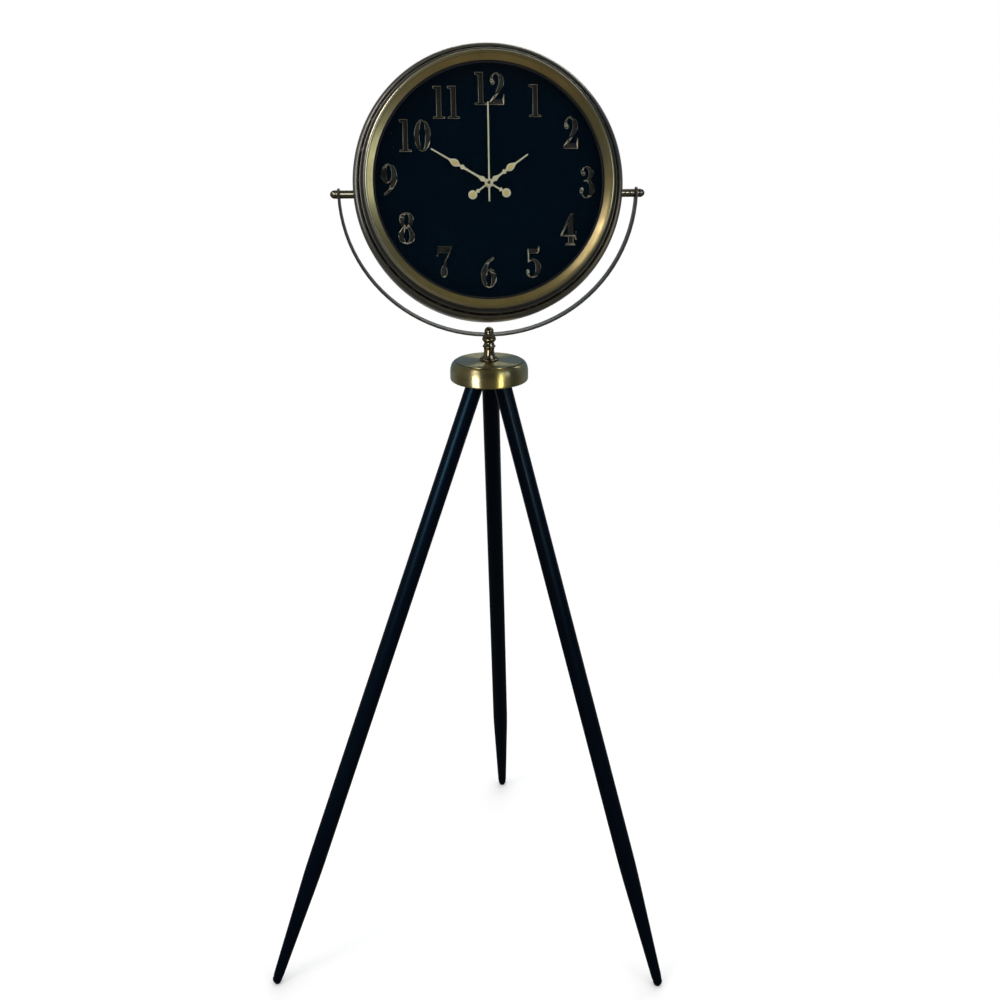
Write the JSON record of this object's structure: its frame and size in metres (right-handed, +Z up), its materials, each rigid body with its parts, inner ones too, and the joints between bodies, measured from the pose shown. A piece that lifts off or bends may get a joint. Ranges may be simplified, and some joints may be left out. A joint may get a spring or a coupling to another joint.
{
  "type": "tripod floor clock",
  "caption": "Round clock head with raised numerals in a tilting half-round yoke, on a turned stem and hub over a splayed tripod of slim tapered wooden legs.",
  "frame": {"origin": "on the floor, in the middle of the bounding box", "axes": "+Z up; the rear leg points to +Y and the dial looks towards -Y, turned 6.7 degrees to +X and tilted 14.3 degrees back"},
  "size_m": [0.693, 0.6112, 1.549],
  "materials": {
    "black_lacquer": "satin black lacquer",
    "soft_black": "matte",
    "zinc_steel": "zinc plated",
    "casting": "as cast, painted",
    "brushed_antique_brass": "brushed antique",
    "polished_antique_brass": "polished antique",
    "bronze_paint": "satin antique bronze",
    "antique_gold": "satin antique gold",
    "dial_black": "gloss blue-black",
    "clear_glass": "clear",
    "black_plastic": "matte",
    "pale_brass": "satin",
    "battery_label": "printed wrap",
    "dark_bronze": "satin dark bronze"
  },
  "bodies": {
    "stand": {"leg_left": "black_lacquer", "leg_right": "black_lacquer", "leg_rear": "black_lacquer", "glide_left": "soft_black", "glide_right": "soft_black", "glide_rear": "soft_black", "leg_bolt_left": "zinc_steel", "leg_bolt_right": "zinc_steel", "leg_bolt_rear": "zinc_steel", "leg_block": "casting", "hub_cover": "brushed_antique_brass", "tie_rod": "zinc_steel", "rod_nut": "zinc_steel", "stem": "polished_antique_brass"},
    "yoke": {"yoke_strap": "bronze_paint", "swivel_washer": "polished_antique_brass", "finial_nut": "polished_antique_brass"},
    "head": {"case_shell": "bronze_paint", "dial_seat": "bronze_paint", "bezel_ring": "antique_gold", "glass_gasket": "soft_black", "glass": "clear_glass", "spacer_ring": "black_plastic", "dial_plate": "dial_black", "back_cover": "black_plastic", "pivot_stud_left": "zinc_steel", "pivot_stud_right": "zinc_steel", "pivot_sleeve_left": "polished_antique_brass", "pivot_sleeve_right": "polished_antique_brass", "pivot_acorn_left": "polished_antique_brass", "pivot_acorn_right": "polished_antique_brass", "pivot_nut_left": "zinc_steel", "pivot_nut_right": "zinc_steel", "movement_case": "black_plastic", "rubber_washer": "soft_black", "bush_nut": "pale_brass", "battery": "battery_label", "contact_plus": "zinc_steel", "contact_minus": "zinc_steel", "numeral_1": "dark_bronze", "numeral_2": "dark_bronze", "numeral_3": "dark_bronze", "numeral_4": "dark_bronze", "numeral_5": "dark_bronze", "numeral_6": "dark_bronze", "numeral_7": "dark_bronze", "numeral_8": "dark_bronze", "numeral_9": "dark_bronze", "numeral_10_tens": "dark_bronze", "numeral_10_units": "dark_bronze", "numeral_11_tens": "dark_bronze", "numeral_11_units": "dark_bronze", "numeral_12_tens": "dark_bronze", "numeral_12_units": "dark_bronze"},
    "hour_hand": {"hour_hand": "pale_brass", "hour_tube": "zinc_steel"},
    "minute_hand": {"minute_hand": "pale_brass", "minute_arbor": "zinc_steel"},
    "second_hand": {"second_hand": "pale_brass"},
    "setting_knob": {"setting_knob": "black_plastic"}
  },
  "joints": [
    {"name": "yoke_swivel", "type": "hinge", "parent": "stand", "child": "yoke", "pos_m": [0.0301, -0.08482, 1.13], "axis": [0, 0, 1], "continuous": true},
    {"name": "head_tilt", "type": "hinge", "parent": "yoke", "child": "head", "pos_m": [0.0301, -0.08482, 1.34118], "axis": [0.9932, 0.1167, 0], "range_deg": [-75.7, 104.3]},
    {"name": "second_hand_turn", "type": "hinge", "parent": "head", "child": "second_hand", "pos_m": [0.02974, -0.08175, 1.35329], "axis": [-0.1131, 0.9624, -0.247], "continuous": true},
    {"name": "minute_hand_turn", "type": "hinge", "parent": "head", "child": "minute_hand", "pos_m": [0.02974, -0.08175, 1.35329], "axis": [-0.1131, 0.9624, -0.247], "continuous": true},
    {"name": "hour_hand_turn", "type": "hinge", "parent": "head", "child": "hour_hand", "pos_m": [0.02974, -0.08175, 1.35329], "axis": [-0.1131, 0.9624, -0.247], "continuous": true},
    {"name": "setting_knob_turn", "type": "hinge", "parent": "head", "child": "setting_knob", "pos_m": [0.04526, -0.0767, 1.36589], "axis": [-0.1131, 0.9624, -0.247], "continuous": true}
  ],
  "couplings": [
    {"joint": "minute_hand_turn", "follows": "second_hand_turn", "ratio": 0.016667},
    {"joint": "hour_hand_turn", "follows": "second_hand_turn", "ratio": 0.0013889},
    {"joint": "setting_knob_turn", "follows": "second_hand_turn", "ratio": -0.0055556}
  ]
}
